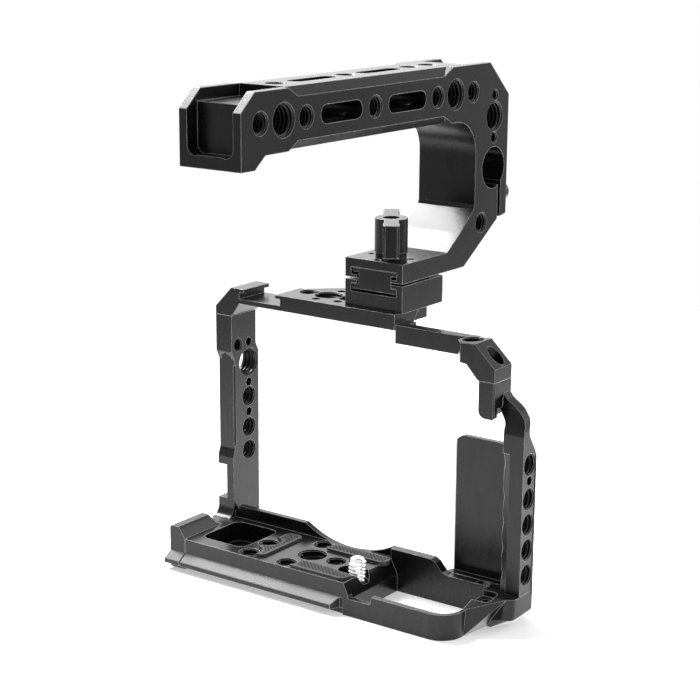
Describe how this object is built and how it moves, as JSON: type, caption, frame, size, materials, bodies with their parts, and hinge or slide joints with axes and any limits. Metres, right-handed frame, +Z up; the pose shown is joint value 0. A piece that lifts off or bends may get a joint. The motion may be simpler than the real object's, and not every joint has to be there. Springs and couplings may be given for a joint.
{
  "type": "camera cage",
  "caption": "Open metal camera cage with a sliding cantilever top handle, rod clamp, wing knob, cold shoe, grip shell and dovetail base.",
  "frame": {"origin": "axis of the large tripod hole, on the underside of the base", "axes": "+X to the right seen from behind the camera, +Y towards the lens, +Z up"},
  "size_m": [0.1341, 0.1544, 0.1803],
  "materials": {
    "anodised_black": "fine matt black anodising",
    "pad_rubber": "dark grey rubber with a fine diamond texture",
    "bright_steel": "bright nickel-plated steel",
    "black_steel": "black oxide steel",
    "grey_steel": "plain machined steel"
  },
  "bodies": {
    "cage": {"base_frame": "anodised_black", "right_post": "anodised_black", "grip_shell": "anodised_black", "top_plate": "anodised_black", "right_arm": "anodised_black", "rail_block": "anodised_black", "left_pad": "pad_rubber", "rear_pad": "pad_rubber", "front_pad": "pad_rubber", "left_corner_screw": "black_steel", "right_corner_screw": "black_steel", "arm_screws": "black_steel", "rail_screws": "black_steel", "post_stud": "black_steel", "shell_screws": "black_steel", "ledge_screws": "black_steel", "seam_dowels": "grey_steel"},
    "handle": {"handle_frame": "anodised_black", "handle_set_screws": "black_steel", "knob_collar": "anodised_black"},
    "knob": {"wing_knob": "anodised_black", "knob_stud": "grey_steel"},
    "key": {"clamp_key": "anodised_black"},
    "clamp_right": {"clamp_screw_right": "black_steel"},
    "clamp_left": {"clamp_screw_left": "black_steel"},
    "screw_carrier": {"screw_washer": "bright_steel"},
    "camera_bolt": {"camera_screw": "bright_steel"}
  },
  "joints": [
    {"name": "handle_slide", "type": "slide", "parent": "cage", "child": "handle", "axis": [0, 1, 0], "range_m": [-0.01, 0.01]},
    {"name": "knob_turn", "type": "hinge", "parent": "handle", "child": "knob", "pos_m": [0.0141, 0.02595, 0.11805], "axis": [0, 0, 1], "range_deg": [0, 270]},
    {"name": "key_lift", "type": "slide", "parent": "handle", "child": "key", "axis": [0, 0, 1], "range_m": [-0.0006, 0]},
    {"name": "clamp_right_turn", "type": "hinge", "parent": "handle", "child": "clamp_right", "pos_m": [0.02203, 0.08206, 0.13255], "axis": [0, 1, 0], "range_deg": [0, 540]},
    {"name": "clamp_left_turn", "type": "hinge", "parent": "handle", "child": "clamp_left", "pos_m": [0.00617, 0.08206, 0.13255], "axis": [0, 1, 0], "range_deg": [0, 540]},
    {"name": "screw_shift", "type": "slide", "parent": "cage", "child": "screw_carrier", "axis": [1, 0, 0], "range_m": [-0.0031, 0]},
    {"name": "camera_screw_turn", "type": "hinge", "parent": "screw_carrier", "child": "camera_bolt", "pos_m": [0.0221, -0.0038, 0.0117], "axis": [0, 0, 1], "continuous": true}
  ],
  "couplings": [
    {"joint": "key_lift", "follows": "knob_turn", "m_per_rad": -0.0001273}
  ]
}
